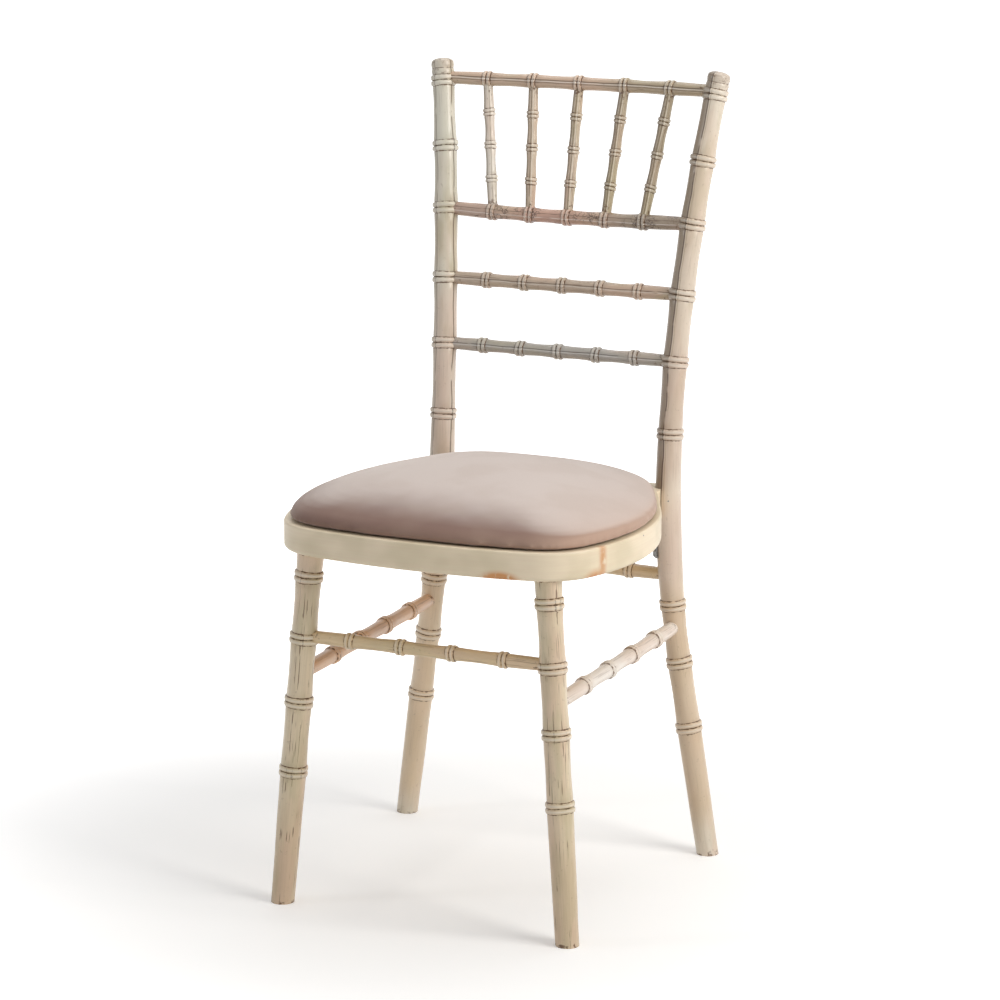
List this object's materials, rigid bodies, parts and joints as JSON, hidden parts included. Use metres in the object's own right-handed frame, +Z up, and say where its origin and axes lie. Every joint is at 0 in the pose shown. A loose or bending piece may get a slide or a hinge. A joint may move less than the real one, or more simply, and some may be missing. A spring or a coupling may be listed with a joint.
{
  "type": "chiavari chair",
  "caption": "Chiavari dining chair in limewashed turned wood, with a D-shaped seat frame and a lift-off upholstered seat pad",
  "frame": {"origin": "middle of the footprint, on the floor the feet stand on", "axes": "+Z up, +Y towards the back rest, +X to the right seen from the front"},
  "size_m": [0.418, 0.4537, 0.9105],
  "materials": {
    "limewashed_wood": "satin",
    "seat_frame_wood": "satin",
    "raw_beech": "matte",
    "plywood": "matte",
    "seat_fabric": "matte",
    "pad_foam": "matte",
    "hook_loop_tape": "matte",
    "bracket_steel": "satin",
    "fastener_steel": "satin"
  },
  "bodies": {
    "chair_frame": {"back_corner_blocks": "raw_beech", "back_stretcher": "limewashed_wood", "block_screws": "fastener_steel", "board_nails": "fastener_steel", "bracket_screws": "fastener_steel", "frame_dowels": "raw_beech", "front_corner_blocks": "raw_beech", "front_stretcher": "limewashed_wood", "gallery_rail": "limewashed_wood", "hook_tapes": "hook_loop_tape", "left_back_bracket": "bracket_steel", "left_back_post": "limewashed_wood", "left_front_leg": "limewashed_wood", "left_side_stretcher": "limewashed_wood", "lower_cross_rail": "limewashed_wood", "post_dowels": "raw_beech", "post_pins": "fastener_steel", "right_back_bracket": "bracket_steel", "right_back_post": "limewashed_wood", "right_front_leg": "limewashed_wood", "right_side_stretcher": "limewashed_wood", "seat_back_rail": "seat_frame_wood", "seat_board": "plywood", "seat_front_rail": "seat_frame_wood", "seat_left_rail": "seat_frame_wood", "seat_right_rail": "seat_frame_wood", "side_pins": "fastener_steel", "spindle_1": "limewashed_wood", "spindle_2": "limewashed_wood", "spindle_3": "limewashed_wood", "spindle_4": "limewashed_wood", "spindle_5": "limewashed_wood", "top_rail": "limewashed_wood", "upper_cross_rail": "limewashed_wood"},
    "seat_pad": {"loop_tapes": "hook_loop_tape", "pad_staples": "fastener_steel", "pad_cover": "seat_fabric", "pad_board": "plywood", "pad_foam": "pad_foam"}
  },
  "joints": [
    {"name": "pad_lift", "type": "slide", "parent": "chair_frame", "child": "seat_pad", "axis": [0, 0, 1], "range_m": [0, 0.06]}
  ]
}
